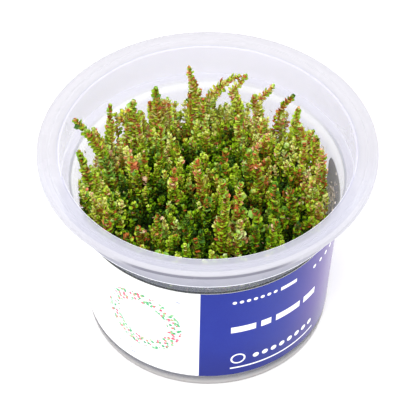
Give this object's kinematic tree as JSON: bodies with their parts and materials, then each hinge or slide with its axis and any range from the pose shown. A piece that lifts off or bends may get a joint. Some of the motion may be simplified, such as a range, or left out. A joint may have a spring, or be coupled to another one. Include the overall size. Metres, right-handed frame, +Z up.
{
  "type": "rotala in a tissue-culture cup",
  "caption": "Dense mat of upright rotala shoots rooted in gel inside a flanged, translucent, tapered plastic cup with a wrapped label.",
  "frame": {"origin": "middle of the foot ring, on the surface that the cup stands on", "axes": "+Z up along the cup's axis; -Y is the front, where the label's two panels meet; +X to the right"},
  "size_m": [0.1, 0.1, 0.071],
  "materials": {
    "cup_plastic": "milky translucent moulded plastic",
    "label_print": "printed paper film, satin",
    "gel": "clouded wet gel",
    "foliage": "small fleshy leaves, green to reddish, satin"
  },
  "bodies": {
    "root": {"cup": "cup_plastic", "label": "label_print", "gel": "gel", "plantlet_01": "foliage", "plantlet_02": "foliage", "plantlet_03": "foliage", "plantlet_04": "foliage", "plantlet_05": "foliage", "plantlet_06": "foliage", "plantlet_07": "foliage", "plantlet_08": "foliage", "plantlet_09": "foliage", "plantlet_10": "foliage", "plantlet_11": "foliage", "plantlet_12": "foliage", "plantlet_13": "foliage", "plantlet_14": "foliage", "plantlet_15": "foliage", "plantlet_16": "foliage", "plantlet_17": "foliage", "plantlet_18": "foliage", "plantlet_19": "foliage", "plantlet_20": "foliage", "plantlet_21": "foliage", "plantlet_22": "foliage", "plantlet_23": "foliage", "plantlet_24": "foliage", "plantlet_25": "foliage", "plantlet_26": "foliage", "plantlet_27": "foliage", "plantlet_28": "foliage", "plantlet_29": "foliage", "plantlet_30": "foliage", "plantlet_31": "foliage", "plantlet_32": "foliage", "plantlet_33": "foliage", "plantlet_34": "foliage", "plantlet_35": "foliage", "plantlet_36": "foliage", "plantlet_37": "foliage", "plantlet_38": "foliage", "plantlet_39": "foliage", "plantlet_40": "foliage", "plantlet_41": "foliage", "plantlet_42": "foliage", "plantlet_43": "foliage", "plantlet_44": "foliage"}
  },
  "joints": []
}
